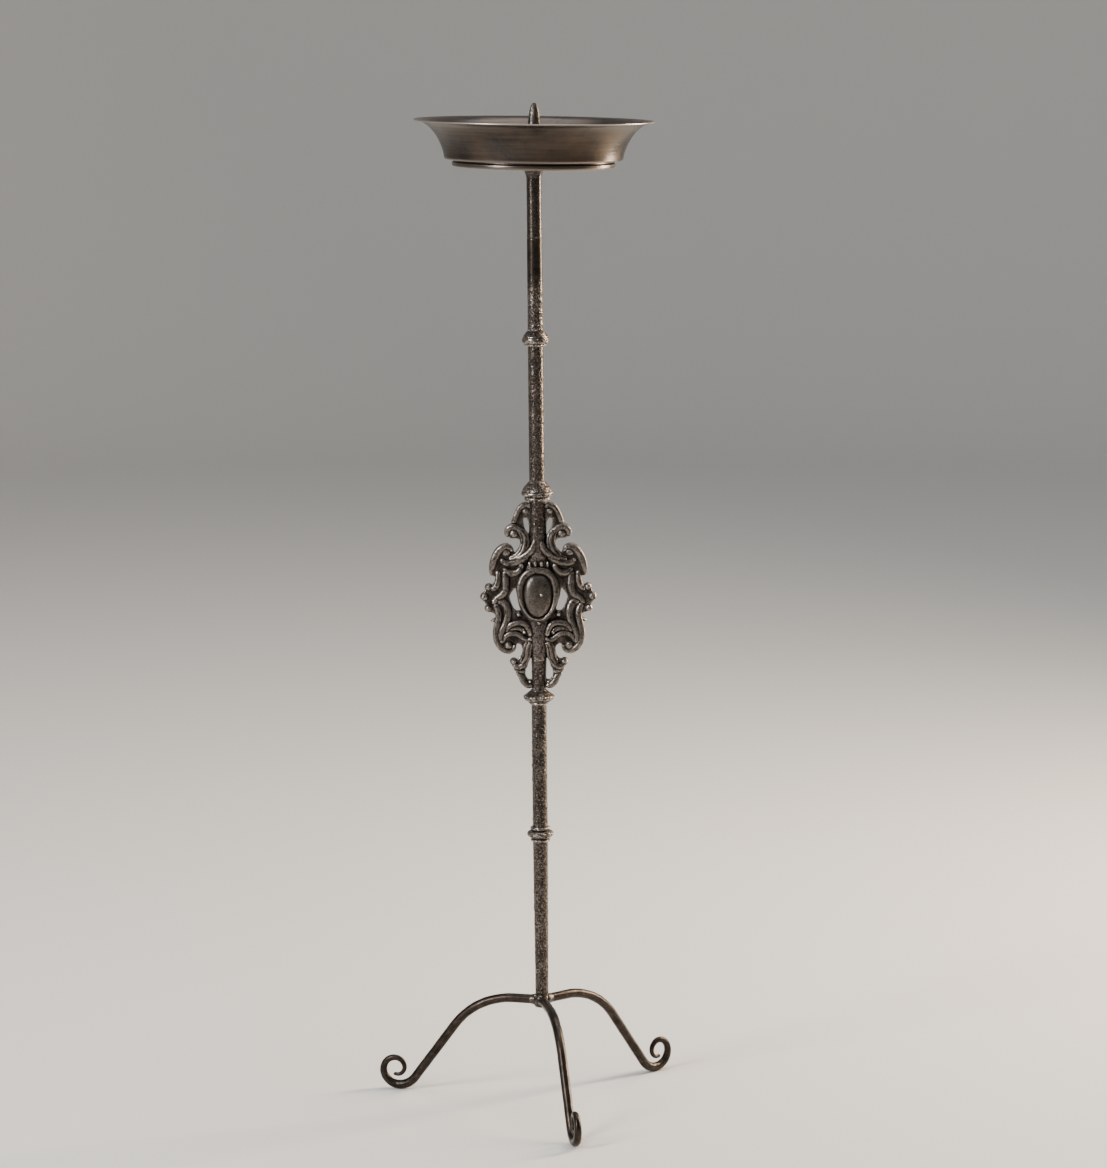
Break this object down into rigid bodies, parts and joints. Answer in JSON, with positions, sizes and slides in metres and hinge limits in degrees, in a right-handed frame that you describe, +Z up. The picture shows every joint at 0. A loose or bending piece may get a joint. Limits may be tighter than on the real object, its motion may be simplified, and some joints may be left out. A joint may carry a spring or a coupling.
{
  "type": "candle stand",
  "caption": "Tall dark iron floor stand for a pillar candle: lift-off drip pan over a spike, slim knopped stem with openwork scroll ornament, and splayed scroll-footed legs.",
  "frame": {"origin": "on the floor, straight below the middle of the hub where the legs meet", "axes": "+Z up along the stem, -Y towards the front of the ornament, +X to the right seen from the front"},
  "size_m": [0.314, 0.3082, 1.0479],
  "materials": {
    "forged_bar": "smooth forged dark iron, worn on the ridges",
    "pitted_bar": "rough pitted dark iron",
    "smooth_bar": "turned satin dark iron",
    "cast_knop": "pitted dark iron, rubbed bright on top",
    "cast_openwork": "cast iron, black in the recesses and worn on the ridges",
    "boss_iron": "satin dark iron, faintly grained",
    "bright_rivet": "bright rubbed rivet head",
    "spun_pan": "spun gunmetal brown iron with fine circular scratches"
  },
  "bodies": {
    "stand": {"leg_front": "forged_bar", "leg_right": "forged_bar", "leg_left": "forged_bar", "leg_hub": "forged_bar", "lower_stem": "pitted_bar", "middle_stem": "pitted_bar", "upper_stem": "pitted_bar", "top_stem": "smooth_bar", "ornament_bar": "pitted_bar", "lower_knop": "cast_knop", "foot_knop": "cast_knop", "head_knop": "cast_knop", "upper_knop": "cast_knop", "knop_washer": "cast_knop", "ornament_front": "cast_openwork", "ornament_back": "cast_openwork", "boss_front": "boss_iron", "boss_back": "boss_iron", "boss_rivet": "bright_rivet", "head_sleeve": "smooth_bar", "pricket": "forged_bar"},
    "pan": {"drip_pan": "spun_pan", "pan_foot_ring": "spun_pan"}
  },
  "joints": [
    {"name": "pan_lift", "type": "slide", "parent": "stand", "child": "pan", "axis": [0.012, 0, 0.9999], "range_m": [0, 0.08]}
  ]
}
